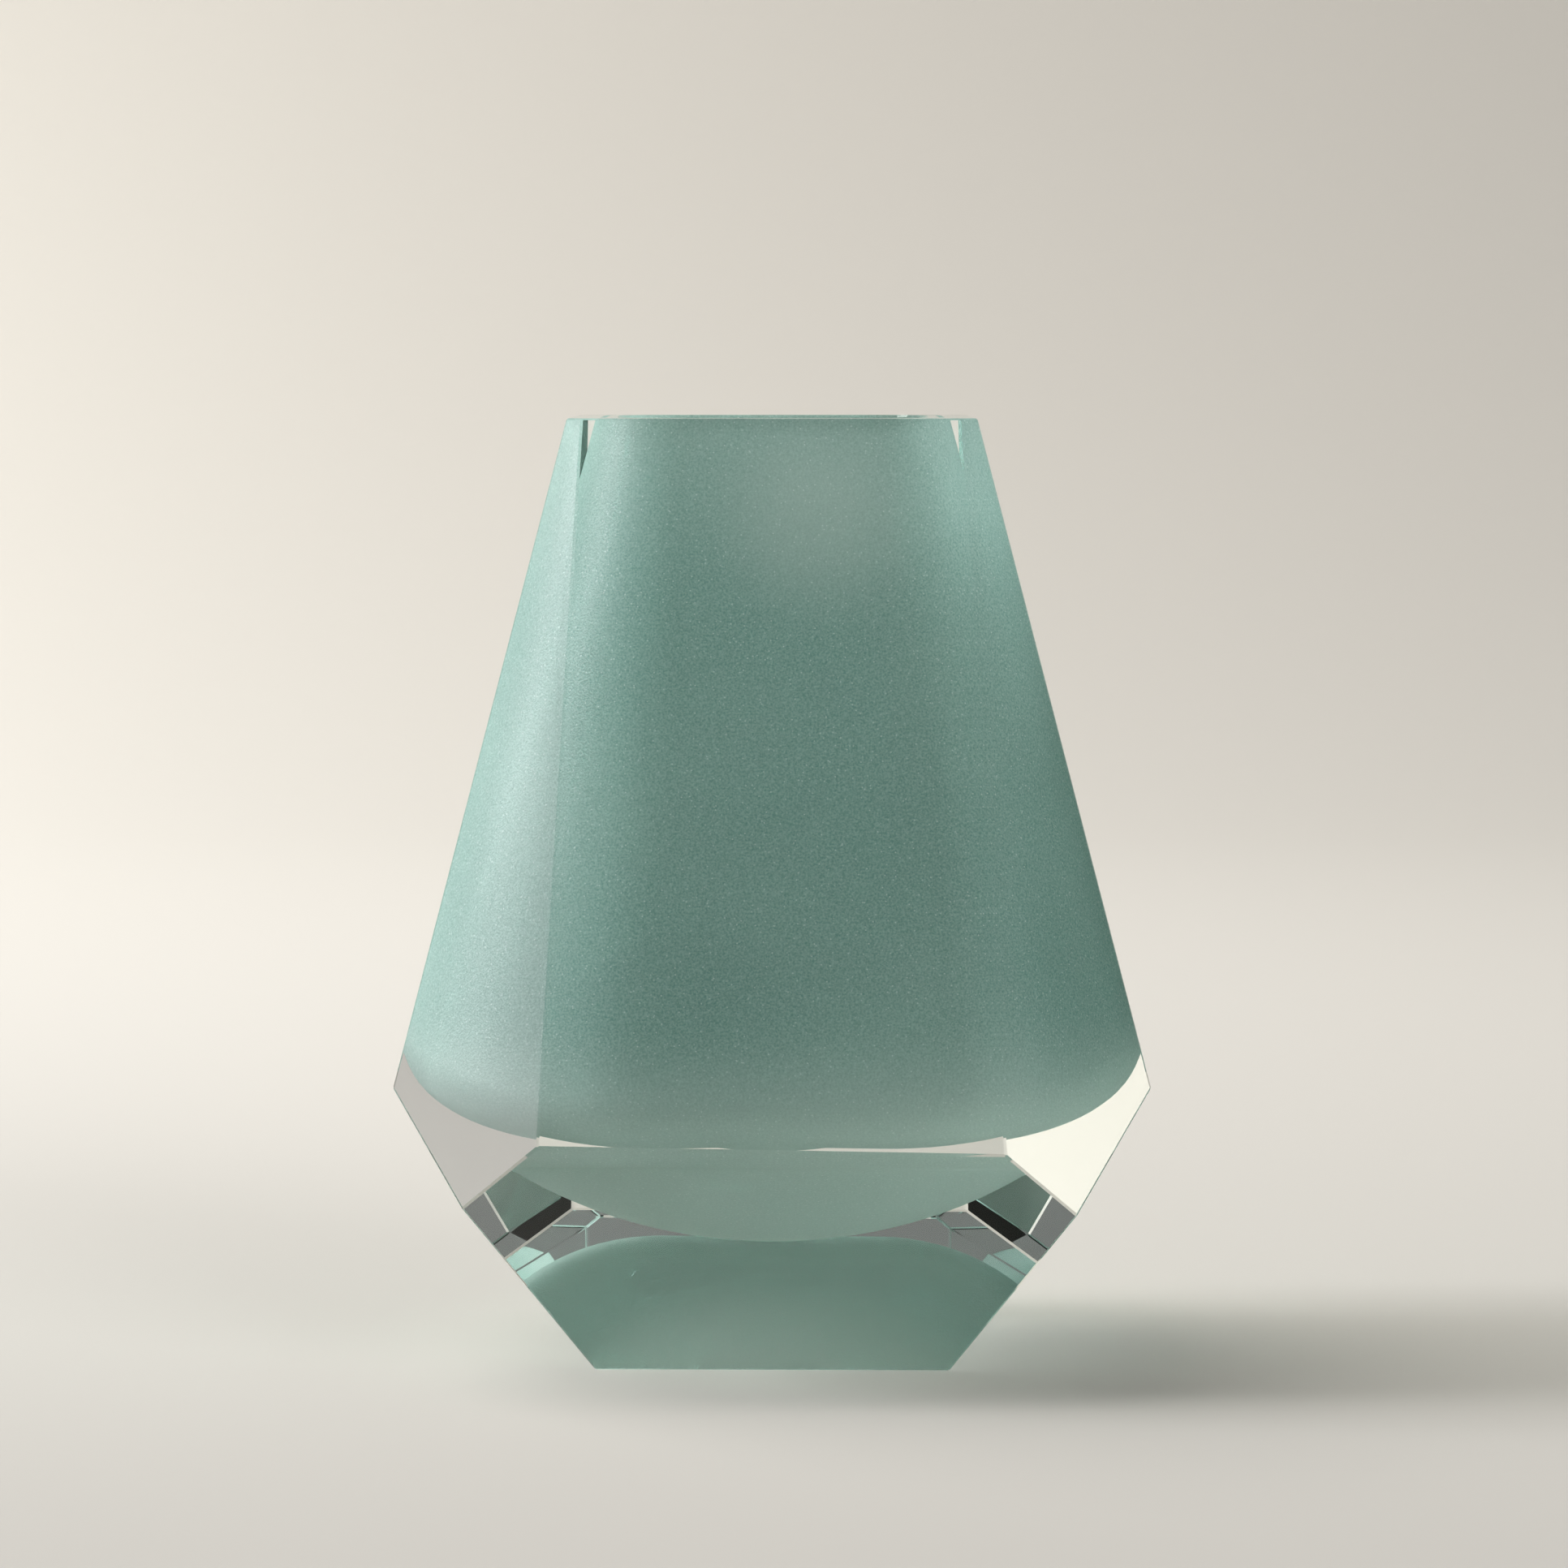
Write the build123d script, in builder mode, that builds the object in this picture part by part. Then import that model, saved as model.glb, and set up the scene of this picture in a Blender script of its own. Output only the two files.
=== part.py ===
from build123d import *
from math import atan2, cos, degrees, radians, sin, sqrt
import os

os.makedirs("parts", exist_ok=True)

# A heavy, hand blown vase of cased glass. A wide bubble of green glass is buried in a thick
# block of clear glass, and the block is then cut into flat facets and polished.
# Lengths are in mm. The origin is the middle of the base, with +Z up and -Y to the front.

# The cut block
height = 220.0              # from the base to the flat rim
rim_side = 94.0             # across the rim, flat to flat
girdle_side = 174.0         # across the widest line, flat to flat
base_side = 82.0            # across the base, flat to flat
front_girdle_height = 56.5  # where the front face turns in towards the base
side_girdle_height = 66.5   # where the two side faces turn in, a little higher
back_girdle_height = 72.0   # where the back face turns in, higher again
rim_corner_cut = 3.5        # what a corner facet takes off each side, at the rim
girdle_corner_cut = 37.5    # the same, at the side girdle
undercut_turn = 1.0         # the front undercut is this many degrees off square
arris = 0.4                 # the narrow bevel that takes the sharpness off each cut edge

# The blown bubble
side_wall = 7.0             # clear glass between a flat side and the colour, at the rim
belly_wall = 8.0            # the same at the belly
belly_height = 72.0         # the bubble is widest about here
rim_corner_wall = 15.0      # clear glass between a corner facet and the colour, at the rim
belly_corner_wall = 5.0     # the same at the belly
shelf_height = 68.4         # the bubble's floor is a flat shelf, this high at the axis
shelf_tilt = 11.0           # and tilted by this many degrees, low at the front
sag_height = 45.7           # clear glass under the lowest point, where the shelf sags like a ball
sag_radius = 98.0           # the ball's radius
sag_forward = 12.5          # the ball's centre is this far in front of the axis
sag_edge_radius = 10.0      # the round between the sag and the shelf
heel_radius = 10.0          # the round between the bubble's wall and the shelf

# The layers of the bubble, from outside to inside
colour_thickness = 1.2
lining_thickness = 2.3
mouth_bevel = 0.5

# Reaches that follow from the sizes above
girdle_reach = girdle_side / 2
shoulder_run = (girdle_side - rim_side) / 2
foot_run = (girdle_side - base_side) / 2
side_rise = height - side_girdle_height
corner_reach = (rim_side - rim_corner_cut) / sqrt(2)
corner_run = (girdle_side - girdle_corner_cut) / sqrt(2) - corner_reach

# The bubble is a rounded square in plan, and its corner radii follow from its walls. The same
# straight wall, carried on down, would be this wide and this round at the base.
rim_half = rim_side / 2 - side_wall
belly_half = girdle_reach - belly_wall
belly_drop = height - belly_height
belly_corner_reach = corner_reach + corner_run * belly_drop / side_rise
rim_radius = (sqrt(2) * rim_half + rim_corner_wall - corner_reach) / (sqrt(2) - 1)
belly_radius = (sqrt(2) * belly_half + belly_corner_wall - belly_corner_reach) / (sqrt(2) - 1)
base_half = rim_half + (belly_half - rim_half) * height / belly_drop
base_radius = rim_radius + (belly_radius - rim_radius) * height / belly_drop

# The tilted shelf, as a plane
shelf_normal = Vector(0, -sin(radians(shelf_tilt)), cos(radians(shelf_tilt)))
shelf = Plane(origin=(0, 0, shelf_height), x_dir=(1, 0, 0), z_dir=shelf_normal)


def facet(heading, reach, level, lean):
    """The plane of one facet: `reach` out from the axis at height `level`, facing `heading`
    degrees round from +X, and leaning back by `lean` degrees (negative when it overhangs)."""
    across = Vector(cos(radians(heading)), sin(radians(heading)), 0)
    outward = across * cos(radians(lean)) + Vector(0, 0, sin(radians(lean)))
    along = Vector(-across.Y, across.X, 0)
    return Plane(origin=across * reach + Vector(0, 0, level), x_dir=along, z_dir=outward)


def face_pair(heading, girdle_height, turn=0.0):
    """The two facets on one side: the tall face above the girdle, and the undercut below it."""
    face_lean = degrees(atan2(shoulder_run, height - girdle_height))
    undercut_lean = -degrees(atan2(foot_run, girdle_height))
    face = facet(heading, girdle_reach, girdle_height, face_lean)
    undercut = facet(heading + turn, girdle_reach, girdle_height, undercut_lean)
    return [face, undercut]


front_facets = face_pair(-90, front_girdle_height, -undercut_turn)
back_facets = face_pair(90, back_girdle_height)
side_facets = face_pair(0, side_girdle_height) + face_pair(180, side_girdle_height)
corner_lean = degrees(atan2(corner_run, side_rise))
corner_facets = [facet(heading, corner_reach, height, corner_lean) for heading in (-135, -45, 45, 135)]


def soft_floor(inset):
    """All the space over the bubble's floor: over the tilted shelf, and inside the ball that sags
    below it. The round between the two grows as the ball shrinks, so each layer stays even."""
    with BuildPart() as space:
        with Locations((0, -sag_forward, sag_height + sag_radius)):
            Sphere(sag_radius - inset)
        with Locations(shelf.offset(inset)):
            Box(3 * girdle_side, 3 * girdle_side, 2 * height, align=(Align.CENTER, Align.CENTER, Align.MIN))
        fillet(space.edges().filter_by(GeomType.CIRCLE), radius=sag_edge_radius + inset)
    return space.part


def bubble(inset):
    """The blown form, `inset` mm inside the outside of the colour: a rounded square that widens
    in a straight line from the rim, and rounds under at the heel to the soft floor."""
    with BuildPart() as form:
        with BuildSketch():
            RectangleRounded(2 * (base_half - inset), 2 * (base_half - inset), base_radius - inset)
        with BuildSketch(Plane.XY.offset(height)):
            RectangleRounded(2 * (rim_half - inset), 2 * (rim_half - inset), rim_radius - inset)
        loft(ruled=True)
        add(soft_floor(inset), mode=Mode.INTERSECT)
        shelf_face = form.faces().filter_by(GeomType.PLANE).sort_by(Axis.Z)[0]
        fillet(shelf_face.outer_wire().edges(), radius=heel_radius - inset)
    return form.part


colour_outside = bubble(0)
lining_outside = bubble(colour_thickness)
hollow = bubble(colour_thickness + lining_thickness)

# Clear casing: an oversize square block, cut facet by facet, with every cut edge eased
with BuildPart() as casing:
    with BuildSketch():
        Rectangle(2 * girdle_side, 2 * girdle_side)
    extrude(amount=height)
    with BuildSketch(*front_facets, *back_facets, *side_facets, *corner_facets):
        Rectangle(3 * girdle_side, 3 * girdle_side)
    extrude(amount=girdle_side, mode=Mode.SUBTRACT)
    chamfer(casing.edges(), length=arris)
    add(colour_outside, mode=Mode.SUBTRACT)

# Coloured layer: crushed green glass melted into a skin on the bubble
with BuildPart() as colour_layer:
    add(colour_outside)
    add(lining_outside, mode=Mode.SUBTRACT)

# Clear lining: the first gather, which the crushed colour was picked up on
with BuildPart() as lining:
    add(lining_outside)
    add(hollow, mode=Mode.SUBTRACT)
    chamfer(lining.faces().sort_by(Axis.Z)[-1].inner_wires()[0].edges(), length=mouth_bevel)

for name, piece in (("clear_casing", casing), ("green_colour_layer", colour_layer), ("clear_lining", lining)):
    piece.part.label = name
    export_step(piece.part, f"parts/{name}.step")
    print(name, piece.part.volume, piece.part.bounding_box())
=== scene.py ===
# %% [markdown]
# # A cut and polished vase of cased glass
# The vase is three layers of glass that were melted into one. A bubble is blown on the pipe,
# rolled in crushed green glass, and gathered over with a heavy coat of clear. When it is cold,
# the clear coat is ground to flat facets and polished. The CAD model holds the exact sizes, so
# it is loaded first and never moved. Sizes below are in millimetres, and are turned to metres
# where a mesh is made or a pattern is scaled. The frame is the same as the model's.

# %% Load the fixed model
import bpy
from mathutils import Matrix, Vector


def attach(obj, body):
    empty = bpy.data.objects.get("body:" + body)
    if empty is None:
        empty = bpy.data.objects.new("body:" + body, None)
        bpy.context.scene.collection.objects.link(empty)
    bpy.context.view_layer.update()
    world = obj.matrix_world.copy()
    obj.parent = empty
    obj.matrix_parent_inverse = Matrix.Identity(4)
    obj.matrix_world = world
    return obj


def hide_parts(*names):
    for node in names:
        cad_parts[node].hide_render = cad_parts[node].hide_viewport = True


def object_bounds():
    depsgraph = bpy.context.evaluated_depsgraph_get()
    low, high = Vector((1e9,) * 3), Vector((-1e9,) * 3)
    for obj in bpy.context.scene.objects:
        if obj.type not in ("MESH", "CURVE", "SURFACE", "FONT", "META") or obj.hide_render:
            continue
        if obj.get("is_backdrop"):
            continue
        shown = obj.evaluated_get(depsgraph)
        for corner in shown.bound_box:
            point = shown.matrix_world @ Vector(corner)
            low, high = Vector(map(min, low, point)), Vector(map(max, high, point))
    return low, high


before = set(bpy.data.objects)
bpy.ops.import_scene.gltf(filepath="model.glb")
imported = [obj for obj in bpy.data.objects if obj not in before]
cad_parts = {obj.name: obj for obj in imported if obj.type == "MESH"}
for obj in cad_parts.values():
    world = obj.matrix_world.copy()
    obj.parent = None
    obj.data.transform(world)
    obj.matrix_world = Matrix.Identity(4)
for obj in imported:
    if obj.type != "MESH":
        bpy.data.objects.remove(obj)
cad_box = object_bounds()
print("CAD box:", cad_box)

# %% [markdown]
# ## Small tools
# Two helpers are used all the way through. Colours are written as the hex values that a paint
# chart would give, and Blender wants them linear, so one function turns them. Every shader node
# is added by one function too, which takes the node's settings and what it is linked to.

# %% Colours
import itertools
from math import atan2, cos, pi, radians, sin, sqrt

import bpy
import numpy as np

MM = 0.001


def linear(hex_colour):
    """An sRGB hex colour as linear RGBA: each channel over 255, then the sRGB curve undone."""
    srgb = np.array([int(hex_colour[i:i + 2], 16) for i in (1, 3, 5)]) / 255
    rgb = np.where(srgb <= 0.04045, srgb / 12.92, ((srgb + 0.055) / 1.055) ** 2.4)
    return (*rgb.tolist(), 1.0)


print("Mid grey in linear light:", linear("#808080")[:3])


# %% Shader nodes
def add_node(tree, kind, inputs=None, **settings):
    """Adds a node. Each input is a value for its socket, or another node's output to link."""
    node = tree.nodes.new(kind)
    for name, value in settings.items():
        setattr(node, name, value)
    for name, value in (inputs or {}).items():
        if isinstance(value, bpy.types.NodeSocket):
            tree.links.new(value, node.inputs[name])
        else:
            node.inputs[name].default_value = value
    return node


def new_material(name):
    """An empty material. Returns it with its node tree, ready for a shader."""
    material = bpy.data.materials.new(name)
    material.use_nodes = True
    material.node_tree.nodes.clear()
    return material, material.node_tree


def finish_material(tree, shader):
    """Links a shader's output to the surface of the material."""
    add_node(tree, "ShaderNodeOutputMaterial", {"Surface": shader})


print("Ready to make materials")

# %% [markdown]
# ## The sizes
# These are the sizes that the glass was cut and blown to. They repeat the CAD source, because
# the visible pieces are worked out again here as smooth surfaces. The facets meet at the girdle,
# the widest line. It is lowest at the front and highest at the back.

# %% Sizes of the cut block, in mm
height, rim_side, girdle_side, base_side = 220.0, 94.0, 174.0, 82.0
front_girdle, side_girdle, back_girdle = 56.5, 66.5, 72.0
rim_corner_cut, girdle_corner_cut = 3.5, 37.5
undercut_turn = 1.0
arris = 0.4
girdle_reach = girdle_side / 2
shoulder_run = (girdle_side - rim_side) / 2
foot_run = (girdle_side - base_side) / 2
corner_reach = (rim_side - rim_corner_cut) / sqrt(2)
corner_run = (girdle_side - girdle_corner_cut) / sqrt(2) - corner_reach
print("The girdle stands out", shoulder_run, "mm past the rim and", foot_run, "mm past the base")

# %% Sizes of the blown bubble, in mm
side_wall, belly_wall, belly_height = 7.0, 8.0, 72.0
rim_corner_wall, belly_corner_wall = 15.0, 5.0
shelf_height, shelf_tilt = 68.4, 11.0
sag_height, sag_radius, sag_forward, sag_edge_radius = 45.7, 98.0, 12.5, 10.0
heel_radius = 10.0
colour_thickness, lining_thickness, mouth_bevel = 1.2, 2.3, 0.5
rim_half = rim_side / 2 - side_wall
belly_half = girdle_reach - belly_wall
belly_drop = height - belly_height
belly_corner_reach = corner_reach + corner_run * belly_drop / (height - side_girdle)
rim_radius = (sqrt(2) * rim_half + rim_corner_wall - corner_reach) / (sqrt(2) - 1)
belly_radius = (sqrt(2) * belly_half + belly_corner_wall - belly_corner_reach) / (sqrt(2) - 1)
print(f"The bubble's corners round over {rim_radius:.1f} mm at the rim, {belly_radius:.1f} at the belly")

# %% [markdown]
# ## The cut block
# A cutter holds the block against a flat wheel, once for each facet, so the shape is what is left
# inside a set of flat cuts. It could be modelled from a cube with loop cuts, but then each facet's
# angle would have to be chased by hand. Here each facet is a plane, and the block is the part of
# space that lies behind all of them. The corners come out exactly where three planes meet.


# %% One facet
def facet(heading, reach, level, lean):
    """The plane of a facet, as its outward unit normal and its distance from the origin.
    It faces `heading` degrees round from +X, leans back by `lean` radians, and passes `reach`
    mm out from the axis at height `level`."""
    across = np.array([cos(radians(heading)), sin(radians(heading)), 0.0])
    normal = across * cos(lean) + np.array([0.0, 0.0, sin(lean)])
    return np.append(normal, normal @ (across * reach + np.array([0.0, 0.0, level])))


def face_pair(heading, girdle, turn=0.0):
    """The tall face above the girdle on one side, and the undercut below it."""
    face = facet(heading, girdle_reach, girdle, atan2(shoulder_run, height - girdle))
    undercut = facet(heading + turn, girdle_reach, girdle, -atan2(foot_run, girdle))
    return [face, undercut]


corner_lean = atan2(corner_run, height - side_girdle)
CORNER_HEADINGS = (-135, -45, 45, 135)
facets = np.array(
    [facet(heading, corner_reach, height, corner_lean) for heading in CORNER_HEADINGS]
    + face_pair(-90, front_girdle, -undercut_turn)
    + face_pair(90, back_girdle)
    + face_pair(0, side_girdle)
    + face_pair(180, side_girdle)
    + [np.array([0.0, 0.0, 1.0, height]), np.array([0.0, 0.0, -1.0, 0.0])]
)
RIM = len(facets) - 2
print("Cuts, with the flat rim and the base:", len(facets))


# %% The block behind all the cuts
SIDEWAYS = (0.31, 0.52, 0.79)  # Any direction that no facet faces
NEARLY_PARALLEL, ON_PLANE, ROUNDING = 1e-4, 1e-3, 1e-6


def block_behind(planes):
    """The solid behind every plane. Three planes meet in one point, found for all triples at
    once, and a point is a corner of the solid if it is behind every other plane too. Returns the
    corners, and for each plane its corners in order round the facet."""
    triples = np.array(list(itertools.combinations(range(len(planes)), 3)))
    normals, offsets = planes[triples, :3], planes[triples, 3]
    meeting = np.abs(np.linalg.det(normals)) > NEARLY_PARALLEL
    points = np.linalg.solve(normals[meeting], offsets[meeting][..., None])[..., 0]
    behind = (points @ planes[:, :3].T <= planes[:, 3] + ROUNDING).all(axis=1)
    corners = np.unique(points[behind].round(4), axis=0)
    outlines = []
    for normal, offset in zip(planes[:, :3], planes[:, 3]):
        on_plane = np.flatnonzero(np.abs(corners @ normal - offset) < ON_PLANE)
        spokes = corners[on_plane] - corners[on_plane].mean(axis=0)
        right = np.cross(normal, SIDEWAYS)
        turn = np.arctan2(spokes @ np.cross(normal, right), spokes @ right)
        outlines.append(on_plane[np.argsort(turn)])
    return corners, outlines


sharp_corners, sharp_outlines = block_behind(facets)
print("Corners of the sharp block:", len(sharp_corners))


# %% [markdown]
# A freshly cut edge of glass would chip and draw blood, so each one is eased with a light pass
# that leaves an arris, a narrow bevel. An arris is one more cut, along the line where two facets
# meet, so it is one more plane. It shows as the fine bright line along every edge.

# %% Ease every edge
def arrises(planes, outlines, width):
    """One plane for each pair of facets that share an edge. Its normal is half way between the
    two, and it takes `width` off each of them."""
    cuts = []
    for one, two in itertools.combinations(range(len(planes)), 2):
        if len(np.intersect1d(outlines[one], outlines[two])) == 2:
            together = planes[one] + planes[two]
            spread = np.linalg.norm(together[:3])
            half_turn = np.linalg.norm(planes[one, :3] - planes[two, :3]) / 2
            cut = together / spread
            cut[3] -= width * half_turn
            cuts.append(cut)
    return np.array(cuts)


edge_cuts = arrises(facets, sharp_outlines, arris)
block_corners, block_outlines = block_behind(np.vstack([facets, edge_cuts]))
print("Eased edges:", len(edge_cuts), "- corners now:", len(block_corners))


# %% [markdown]
# ## The blown bubble
# Inside the block is the bubble, a rounded square that was blown wide at the belly. Its wall is
# straight from the rim down. The soft floor tilted a little, low at the front, and sagged in the
# middle like the side of a ball. A round heel joins wall and floor. It could be lofted from drawn
# curves, but a surface with a formula gives even rows of points, and the same formula gives every
# layer of the glass, each a little further in.

# %% The rounded square
STEPS_ROUND, STEPS_FLAT = 20, 12
AROUND = 4 * (STEPS_ROUND + STEPS_FLAT)


def rounded_square(half, radius):
    """A square with round corners, as points in order round it. Each quarter is an arc about the
    centre of its corner, then a straight run to the next arc, and a quarter turn moves it on."""
    angle = np.linspace(0, pi / 2, STEPS_ROUND)
    arc = np.stack([half - radius + radius * np.cos(angle), half - radius + radius * np.sin(angle)], 1)
    run = np.linspace(half - radius, radius - half, STEPS_FLAT + 2)[1:-1]
    quarter = np.vstack([arc, np.stack([run, np.full(STEPS_FLAT, half)], 1)])
    turns = [np.array([[cos(a), sin(a)], [-sin(a), cos(a)]]) for a in (0, pi / 2, pi, 3 * pi / 2)]
    return np.vstack([quarter @ turn for turn in turns])


print("Points round the bubble:", AROUND)


# %% The floor's profile
tilt = radians(shelf_tilt)
uphill = np.array([0.0, cos(tilt), sin(tilt)])
square_off = np.array([0.0, -sin(tilt), cos(tilt)])
sag_centre = np.array([0.0, -sag_forward, sag_height + sag_radius])
centre_above = (sag_centre - [0.0, 0.0, shelf_height]) @ square_off
sag_foot = sag_centre - centre_above * square_off


def floor_drop(reach, inset):
    """How far the floor lies below its tilted shelf, `reach` mm from the middle of the sag: the
    depth of a ball inside, a small round at the sag's edge, then nothing. `inset` shrinks the
    ball and swells the round, so that the layers keep their thickness."""
    ball, edge, above = sag_radius - inset, sag_edge_radius + inset, centre_above - inset
    shelf_from = sqrt((ball + edge) ** 2 - (above + edge) ** 2)
    ball_to = shelf_from * ball / (ball + edge)
    in_ball = np.sqrt(np.maximum(ball ** 2 - reach ** 2, 0)) - above
    in_round = edge - np.sqrt(np.maximum(edge ** 2 - (reach - shelf_from) ** 2, 0))
    return np.where(reach < ball_to, in_ball, np.where(reach < shelf_from, in_round, 0.0))


print("The floor sags", floor_drop(np.array([0.0, 30.0, 60.0]), 0).round(2), "mm at 0, 30 and 60 mm out")


# %% The bubble, one skin at any depth
def bubble(inset, top=height, wall_rows=30, heel_rows=12, floor_rows=24):
    """The bubble's skin, `inset` mm in from the outside of the colour, as rows of points from the
    rim down. The wall is a straight line from the rim's rounded square to the belly's. The floor
    is the tilted shelf with its sag. The heel is an arc, written as a weighted blend of three
    points: one up the wall, the corner where wall and shelf would meet, and one in along it."""
    rim = np.column_stack([rounded_square(rim_half - inset, rim_radius - inset), np.full(AROUND, height)])
    belly = rounded_square(belly_half - inset, belly_radius - inset)
    belly = np.column_stack([belly, np.full(AROUND, belly_height)])
    along = (belly - rim) / np.linalg.norm(belly - rim, axis=1)[:, None]
    shelf_point = np.array([0.0, 0.0, shelf_height]) + square_off * inset
    corner = rim + along * (((shelf_point - rim) @ square_off) / (along @ square_off))[:, None]

    # Out along the shelf from the middle of the sag, as a heading and a reach
    foot = sag_foot + square_off * inset
    reach = np.linalg.norm(corner - foot, axis=1)
    heading = (corner - foot) / reach[:, None]
    half_angle = np.arccos((heading * along).sum(axis=1)) / 2
    tangent = (heel_radius - inset) / np.tan(half_angle)
    wall_end = corner - along * tangent[:, None]
    floor_start = corner - heading * tangent[:, None]

    start = rim + along * ((height - top) / -along[:, 2])[:, None]
    wall = start + (wall_end - start) * np.linspace(0, 1, wall_rows)[:, None, None]
    step = np.linspace(0, 1, heel_rows + 1)[1:, None, None]
    weight = np.sin(half_angle)[None, :, None]
    one, two, three = (1 - step) ** 2, 2 * weight * step * (1 - step), step ** 2
    heel = (one * wall_end + two * corner + three * floor_start) / (one + two + three)
    part = np.linspace(1, 0, floor_rows + 1)[1:-1, None]
    out = (reach - tangent) * part
    floor = foot + out[..., None] * heading - floor_drop(out, inset)[..., None] * square_off
    return np.concatenate([wall, heel, floor]), foot - floor_drop(np.zeros(1), inset) * square_off


rows, lowest = bubble(0)
print("Rows down the bubble:", len(rows), "- lowest point:", lowest)
print("Widest:", np.abs(rows[..., 0]).max().round(2), "mm each side of the axis")


# %% [markdown]
# ## From points to pieces
# Each layer is a closed shell, with its outside, its inside and a ring at the rim that joins
# them. Faces are lists of point numbers. Their order round the face says which way it looks, and
# it must be out of the glass everywhere, or the glass bends light the wrong way.

# %% Faces of a skin
def skin_faces(row_count, first, pole, inside_out=False):
    """Squares between each row and the next, then a fan from the last row to the pole. `first` is
    the number of the first point. They look outwards, or into the hollow if `inside_out`."""
    around = np.arange(AROUND)
    beside = (around + 1) % AROUND
    top = first + AROUND * np.arange(row_count - 1)[:, None]
    below = top + AROUND
    squares = np.stack([top + around, below + around, below + beside, top + beside], -1)
    last = first + AROUND * (row_count - 1)
    fan = np.stack([last + around, np.full(AROUND, pole), last + beside], -1)
    faces = squares.reshape(-1, 4).tolist() + fan.tolist()
    return [face[::-1] for face in faces] if inside_out else faces


def ring_faces(outer, inner):
    """Squares that look up, between two rows of point numbers round the rim."""
    return np.stack([outer, np.roll(outer, -1), np.roll(inner, -1), inner], -1).tolist()


print("Faces of a skin of two rows, with its fan:", len(skin_faces(2, 0, 2 * AROUND)))

# %% A piece of the vase
SHARP_FROM = 35


def make_piece(name, points, faces, smooth, slots):
    """Puts points in mm and faces into a mesh, as one object that rides on the vase. `smooth`
    and `slots` give each face its shading and its material."""
    mesh = bpy.data.meshes.new(name)
    mesh.from_pydata((points * MM).tolist(), [], faces)
    mesh.polygons.foreach_set("use_smooth", smooth)
    mesh.polygons.foreach_set("material_index", slots)
    mesh.update()
    if all(smooth):
        mesh.set_sharp_from_angle(angle=radians(SHARP_FROM))
    piece = bpy.data.objects.new(name, mesh)
    bpy.context.collection.objects.link(piece)
    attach(piece, "root")
    print(name, "-", len(points), "points,", len(faces), "faces")
    return piece


# %% [markdown]
# The clear casing is the cut block, with the bubble's shape left out of it. The flat rim is a
# square with a rounded square hole, so each point of the hole is joined to the nearest corner of
# the square. The wall of the hole is where the clear and the green glass fused: it is there in
# the mesh, to close it, but light goes straight through.

# %% The clear casing
SEAM_GAP = 0.02
cavity, cavity_pole = bubble(-SEAM_GAP)
block_count = len(block_corners)
casing_points = np.vstack([block_corners, cavity.reshape(-1, 3), cavity_pole])
mouth = block_count + np.arange(AROUND)
rim_outline = block_outlines[RIM]
block_faces = [outline.tolist() for number, outline in enumerate(block_outlines) if number != RIM]

mouth_way = cavity[0, :, :2] / np.linalg.norm(cavity[0, :, :2], axis=1)[:, None]
corner_way = block_corners[rim_outline, :2]
corner_way = corner_way / np.linalg.norm(corner_way, axis=1)[:, None]
nearest = rim_outline[(mouth_way @ corner_way.T).argmax(axis=1)]
next_mouth, next_nearest = np.roll(mouth, -1), np.roll(nearest, -1)
rim_fan = np.stack([mouth, nearest, next_mouth], -1).tolist()
changes = np.flatnonzero(nearest != next_nearest)
rim_gaps = np.stack([nearest[changes], next_nearest[changes], next_mouth[changes]], -1).tolist()
cavity_faces = skin_faces(len(cavity), block_count, len(casing_points) - 1, inside_out=True)
casing_faces = block_faces + rim_fan + rim_gaps + cavity_faces
cut_count = len(casing_faces) - len(cavity_faces)
in_cavity = np.arange(len(casing_faces)) >= cut_count
casing = make_piece("clear_casing_glass", casing_points, casing_faces, in_cavity, in_cavity.astype(int))


# %% [markdown]
# The green layer is crushed glass that melted into a skin a little over a millimetre thick. The
# lining inside it is the first gather of clear glass, and its inner face is the hollow that holds
# the water. The lining's sharp inner edge at the mouth is eased too.

# %% The green layer
def layer(name, outer_inset, inner_inset, bevel=0.0):
    """A shell between two skins of the bubble, closed by a ring at the rim."""
    outer, outer_pole = bubble(outer_inset)
    inner, inner_pole = bubble(inner_inset, top=height - bevel)
    rings = [outer[0]]
    if bevel:
        lip = bubble(inner_inset)[0][0]
        lip[:, :2] *= 1 + bevel / np.linalg.norm(lip[:, :2], axis=1)[:, None]
        rings.append(lip)
    points = np.vstack([outer.reshape(-1, 3), outer_pole, inner.reshape(-1, 3), inner_pole] + rings[1:])
    inner_first = outer[..., 0].size + 1
    inner_pole_number = inner_first + inner[..., 0].size
    outer_faces = skin_faces(len(outer), 0, inner_first - 1)
    inner_faces = skin_faces(len(inner), inner_first, inner_pole_number, inside_out=True)
    numbers = [np.arange(AROUND)] + [inner_pole_number + 1 + np.arange(AROUND)] * (len(rings) - 1)
    numbers.append(inner_first + np.arange(AROUND))
    rim_faces = [face for a, b in zip(numbers, numbers[1:]) for face in ring_faces(a, b)]
    faces = outer_faces + inner_faces + rim_faces
    slots = np.repeat([0, 1, 2], [len(outer_faces), len(inner_faces), len(rim_faces)])
    return make_piece(name, points, faces, np.ones(len(faces), bool), slots)


green_layer = layer("green_frit_layer", 0.0, colour_thickness)

# %% The clear lining
lining_inset = colour_thickness + SEAM_GAP
hollow_inset = colour_thickness + lining_thickness
lining = layer("clear_lining_glass", lining_inset, hollow_inset, mouth_bevel)

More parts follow.
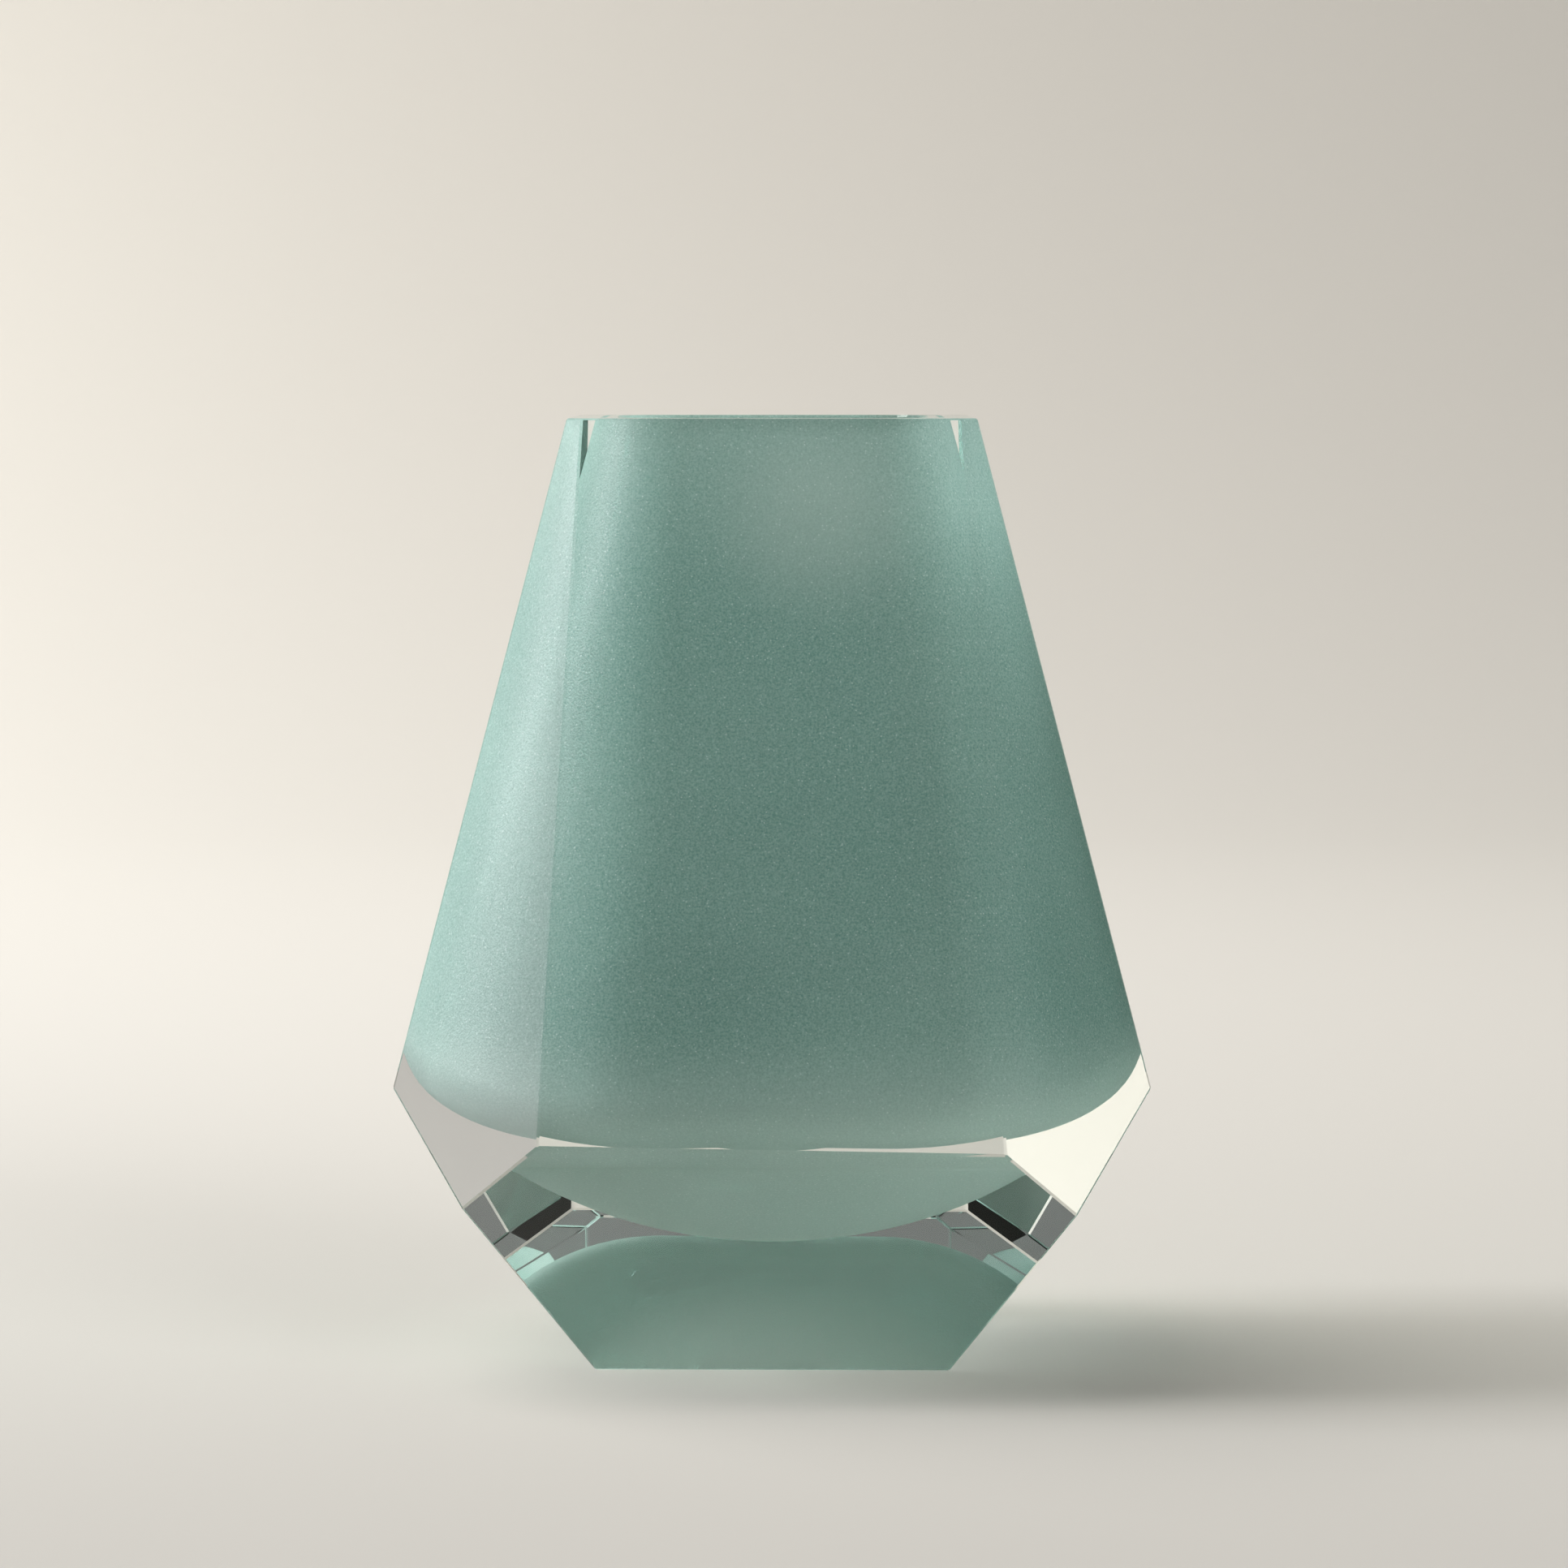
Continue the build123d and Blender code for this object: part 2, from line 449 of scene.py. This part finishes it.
# %% [markdown]
# ## Clear glass
# The clear parts are crystal glass, ground flat and then polished until nothing of the grinding
# shows. What the eye gets from it is bending and mirroring: a facet seen from
# inside the glass at a low angle is a perfect mirror. A hand-held facet is never quite flat, so a
# very slow, faint wave is put in its normal. Lamps are let straight through, because a small
# lamp seen through bent glass takes a renderer far too long to find.

# %% Polished crystal
crystal, tree = new_material("polished_crystal")
place = add_node(tree, "ShaderNodeTexCoord").outputs["Object"]
WAVE_LENGTH, WAVE_DEPTH, CRYSTAL_IOR = 45.0, 0.015, 1.52
wave_settings = {"Vector": place, "Scale": 1 / (WAVE_LENGTH * MM), "Detail": 1.0}
hand_wave = add_node(tree, "ShaderNodeTexNoise", wave_settings)
wavy = add_node(
    tree,
    "ShaderNodeBump",
    {"Height": hand_wave.outputs["Fac"], "Strength": 1.0, "Distance": WAVE_DEPTH * MM},
)
glass = add_node(
    tree,
    "ShaderNodeBsdfGlass",
    {"IOR": CRYSTAL_IOR, "Roughness": 0.0, "Color": linear("#FBFDFC"), "Normal": wavy.outputs[0]},
)
lamp_through = add_node(tree, "ShaderNodeBsdfTransparent", {"Color": linear("#F2F5F3")})
ray = add_node(tree, "ShaderNodeLightPath")
mixed = add_node(
    tree,
    "ShaderNodeMixShader",
    {0: ray.outputs["Is Shadow Ray"], 1: glass.outputs[0], 2: lamp_through.outputs[0]},
)
finish_material(tree, mixed.outputs[0])
print("Made", crystal.name)

# %% [markdown]
# Where two layers of hot glass met, they became one piece, and there is nothing there for light
# to bend at. Those faces are clear through and through.

# %% Fused seam
seam, tree = new_material("fused_seam")
finish_material(tree, add_node(tree, "ShaderNodeBsdfTransparent").outputs[0])
print("Made", seam.name)

# %% [markdown]
# ## The green frit
# Frit is glass crushed to grains of about half a millimetre. Melted on, the grains keep their
# edges, so the layer is cloudy, like very fine sugar, and it scatters light instead of bending
# it. Some of the light comes back, some goes through to the other side, and a little passes
# straight. The colour drifts slowly, because the grains lie thicker in some places.

# %% Celadon frit: the depth of the colour
GRAIN, DRIFT = 0.5, 70.0
GRAIN_SHARE, DRIFT_SHARE = 0.75, 0.25
frit, tree = new_material("celadon_glass_frit")
place = add_node(tree, "ShaderNodeTexCoord").outputs["Object"]
grain_settings = {"Vector": place, "Scale": 1 / (GRAIN * MM), "Detail": 2.0, "Roughness": 0.7}
grain = add_node(tree, "ShaderNodeTexNoise", grain_settings)
drift_settings = {"Vector": place, "Scale": 1 / (DRIFT * MM), "Detail": 1.5}
drift = add_node(tree, "ShaderNodeTexNoise", drift_settings)
grain_part = add_node(
    tree, "ShaderNodeMath", {0: grain.outputs["Fac"], 1: GRAIN_SHARE}, operation="MULTIPLY"
).outputs[0]
depth = add_node(
    tree,
    "ShaderNodeMath",
    {0: drift.outputs["Fac"], 1: DRIFT_SHARE, 2: grain_part},
    operation="MULTIPLY_ADD",
).outputs[0]
body = add_node(tree, "ShaderNodeValToRGB", {"Fac": depth})
deep_end, pale_end = body.color_ramp.elements
deep_end.position, deep_end.color = 0.34, linear("#83AEA5")
pale_end.position, pale_end.color = 0.66, linear("#BFDBD4")
print("Made", frit.name)


# %% [markdown]
# The green is made paler low on the bubble, round the heel and over the sag. That is painted light,
# standing in for light thrown up from the paper beneath. It is also paler towards the rim. There is
# one more soft pale place at the front, just under the rim, where the frit lies thin.

# %% Painted light from below at the heel, a paler rim, and a thin place
def fade(value, start, end, amount):
    """`amount` where the value, a length in mm, has reached `end`, and none before `start`."""
    limits = {"From Min": start * MM, "From Max": end * MM, "To Min": 0.0, "To Max": amount}
    settings = {"Value": value, **limits}
    ramp = add_node(tree, "ShaderNodeMapRange", settings, interpolation_type="SMOOTHSTEP")
    return ramp.outputs[0]


def add_up(one, two):
    """The sum of two values."""
    return add_node(tree, "ShaderNodeMath", {0: one, 1: two}, operation="ADD").outputs[0]


level = add_node(tree, "ShaderNodeSeparateXYZ", {0: place}).outputs["Z"]
from_spot = add_node(
    tree, "ShaderNodeVectorMath", {0: place, 1: (10 * MM, -46 * MM, 196 * MM)}, operation="DISTANCE"
).outputs["Value"]
# Painted light: the first fade lightens the heel and sag as if lit from the paper below; the second pales
# the rim, the third is the thin place
painted_underlight_and_pale_share = add_up(add_up(fade(level, 86, 56, 0.62), fade(level, 165, 225, 0.22)), fade(from_spot, 30, 4, 0.4))
paler = add_node(
    tree,
    "ShaderNodeMix",
    {0: painted_underlight_and_pale_share, 6: body.outputs["Color"], 7: linear("#DDEBE6")},
    data_type="RGBA",
)
print("Made it paler at the heel, at the rim and in one soft place")

# %% [markdown]
# Here and there a grain melted clear or caught a bubble of air, and shows as a bright speck. The
# grains also leave the skin very slightly pebbled, which is what makes it glitter.

# %% Specks, pebbles and light
SPECK_SPACING, PEBBLE = 1.3, 0.12
specks = add_node(tree, "ShaderNodeTexVoronoi", {"Vector": place, "Scale": 1 / (SPECK_SPACING * MM)})
speck_edge = {"From Min": 0.06, "From Max": 0.17, "To Min": 0.9, "To Max": 0.0}
speck = add_node(tree, "ShaderNodeMapRange", {"Value": specks.outputs["Distance"], **speck_edge})
colour = add_node(
    tree,
    "ShaderNodeMix",
    {0: speck.outputs[0], 6: paler.outputs[2], 7: linear("#F2FAF7")},
    data_type="RGBA",
).outputs[2]
pebbled = add_node(
    tree, "ShaderNodeBump", {"Height": grain.outputs["Fac"], "Strength": 1.0, "Distance": PEBBLE * MM}
).outputs[0]
back = add_node(tree, "ShaderNodeBsdfDiffuse", {"Color": colour, "Normal": pebbled})
through = add_node(tree, "ShaderNodeBsdfTranslucent", {"Color": colour, "Normal": pebbled})
straight = add_node(tree, "ShaderNodeBsdfTransparent", {"Color": linear("#A9C9C0")})
sheen = add_node(tree, "ShaderNodeBsdfGlossy", {"Roughness": 0.35, "Normal": pebbled})
scattered = add_node(tree, "ShaderNodeMixShader", {0: 0.45, 1: back.outputs[0], 2: through.outputs[0]})
cloudy = add_node(tree, "ShaderNodeMixShader", {0: 0.12, 1: scattered.outputs[0], 2: straight.outputs[0]})
sugary = add_node(tree, "ShaderNodeMixShader", {0: 0.04, 1: cloudy.outputs[0], 2: sheen.outputs[0]})
finish_material(tree, sugary.outputs[0])
print("Finished", frit.name)

# %% [markdown]
# ## Dressing the pieces
# The casing shows polished glass outside and the fused seam inside. The green layer scatters at
# its outer face and is a seam at its inner face. The lining is a seam outside, and polished glass
# towards the hollow and at the rim.

# %% Materials and nodes
for piece, finishes, node, slot in (
    (casing, (crystal, seam), "clear_casing", "clear_glass"),
    (green_layer, (frit, seam, frit), "green_colour_layer", "green_glass"),
    (lining, (seam, crystal, crystal), "clear_lining", "clear_glass"),
):
    for finish in finishes:
        piece.data.materials.append(finish)
    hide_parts(node)
    print(piece.name, "stands for", node)

# %% [markdown]
# ## The studio
# The vase stands on a sheet of pale paper that sweeps up behind it, so there is no line where
# the floor ends. Clear glass has no colour of its own and shows only what is around it, so the
# paper is as much a part of the look as the lamps are. The key lamp stands high at the left. A wide
# dim card below it is mirrored in the left corner facet, which makes that facet pale, and it is
# hidden from light that was bent through the glass. The front lamp is hidden from mirroring.

# %% Paper sweep
def paper_sweep(half_width=4.0, near=-3.0, far=1.6, bend=1.0, top=4.5):
    """A profile carried sideways: flat floor, a quarter circle of radius `bend`, then a wall. In
    metres, a fifth of a millimetre below the base, so that paper and glass are not in one place."""
    angle = np.linspace(0, pi / 2, 24)
    curve = np.stack([far + bend * np.sin(angle), bend - bend * np.cos(angle)], 1)
    profile = np.vstack([[near, 0.0], curve, [far + bend, top]])
    count = len(profile)
    sides = [np.column_stack([np.full(count, x), profile]) for x in (-half_width, half_width)]
    points = np.vstack(sides) - [0.0, 0.0, 0.0002]
    low = np.arange(count - 1)
    mesh = bpy.data.meshes.new("paper_sweep")
    strips = np.stack([low, low + count, low + count + 1, low + 1], -1)
    mesh.from_pydata(points.tolist(), [], strips.tolist())
    mesh.polygons.foreach_set("use_smooth", [True] * (count - 1))
    sweep = bpy.data.objects.new("paper_sweep", mesh)
    bpy.context.collection.objects.link(sweep)
    sweep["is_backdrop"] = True
    return sweep


paper, tree = new_material("matte_paper")
matte = add_node(tree, "ShaderNodeBsdfDiffuse", {"Color": linear("#D8D5CE"), "Roughness": 0.5})
finish_material(tree, matte.outputs[0])
paper_sweep().data.materials.append(paper)
print("Made the paper sweep")


# %% Lamps
def lamp(name, place, aim, size, watts, colour):
    """A soft box, wide and tall as `size` says in metres, at `place`, turned to face `aim`."""
    light = bpy.data.lights.new(name, "AREA")
    light.shape, light.energy, light.color = "RECTANGLE", watts, linear(colour)[:3]
    light.size, light.size_y = size
    box = bpy.data.objects.new(name, light)
    away = np.subtract(place, aim)
    box.location = place
    box.rotation_euler = (atan2(np.hypot(away[0], away[1]), away[2]), 0, atan2(away[0], -away[1]))
    bpy.context.collection.objects.link(box)
    return box


lamp("key_from_left", (-1.75, 0.14, 1.12), (0.0, 0.0, 0.09), (0.8, 0.75), 29.0, "#FAFBFF")
card = lamp("card_at_left", (-2.3, 0.05, 0.62), (0.0, 0.0, 0.12), (1.5, 1.1), 10.0, "#FFEFF8")
card.visible_transmission = False
front = lamp("soft_front", (1.7, -2.3, 1.4), (0.0, 0.0, 0.1), (1.6, 1.4), 18.0, "#FFFFFF")
front.visible_glossy = False
lamp("over_and_behind", (-0.8, 0.6, 1.9), (-0.3, 0.1, 0.0), (1.3, 1.0), 28.0, "#FFFDF8")
lamp("backdrop_left", (-1.4, 1.5, 0.9), (-0.7, 2.3, 0.2), (0.6, 0.6), 13.0, "#FFFDF8")

AIR_LIGHT = 0.21
world = bpy.data.worlds.new("studio_air")
bpy.context.scene.world = world
world.use_nodes = True
air = world.node_tree.nodes["Background"]
air.inputs["Color"].default_value = linear("#F3F2F0")
air.inputs["Strength"].default_value = AIR_LIGHT

# %% [markdown]
# ## The camera
# A long lens from a metre and a half away, a little above the rim and looking slightly down, so
# that the rim is seen almost edge on.

# %% Camera
camera_data = bpy.data.cameras.new("camera")
camera_data.sensor_width = 36.0
camera_data.lens = 149.07
camera_data.clip_end = 20.0
camera = bpy.data.objects.new("camera", camera_data)
camera.location = (0.0068, -1.5317, 0.2349)
camera.rotation_euler = (radians(90 - 3.797), 0.0, radians(0.156))
bpy.context.collection.objects.link(camera)
bpy.context.scene.camera = camera
print("Lens:", camera_data.lens, "mm")

# %% Colours as seen, and light through many faces of glass
scene = bpy.context.scene
scene.view_settings.view_transform = "Standard"
BOUNCES = 24
scene.cycles.max_bounces = BOUNCES
scene.cycles.transmission_bounces = BOUNCES
scene.cycles.transparent_max_bounces = BOUNCES
print("Light may meet glass", BOUNCES, "times")

visual_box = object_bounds()
boxes = {"cad": cad_box, "visual": visual_box}
boxes = {name: [list(map(float, corner)) for corner in box] for name, box in boxes.items()}
print("Visual box:", visual_box)
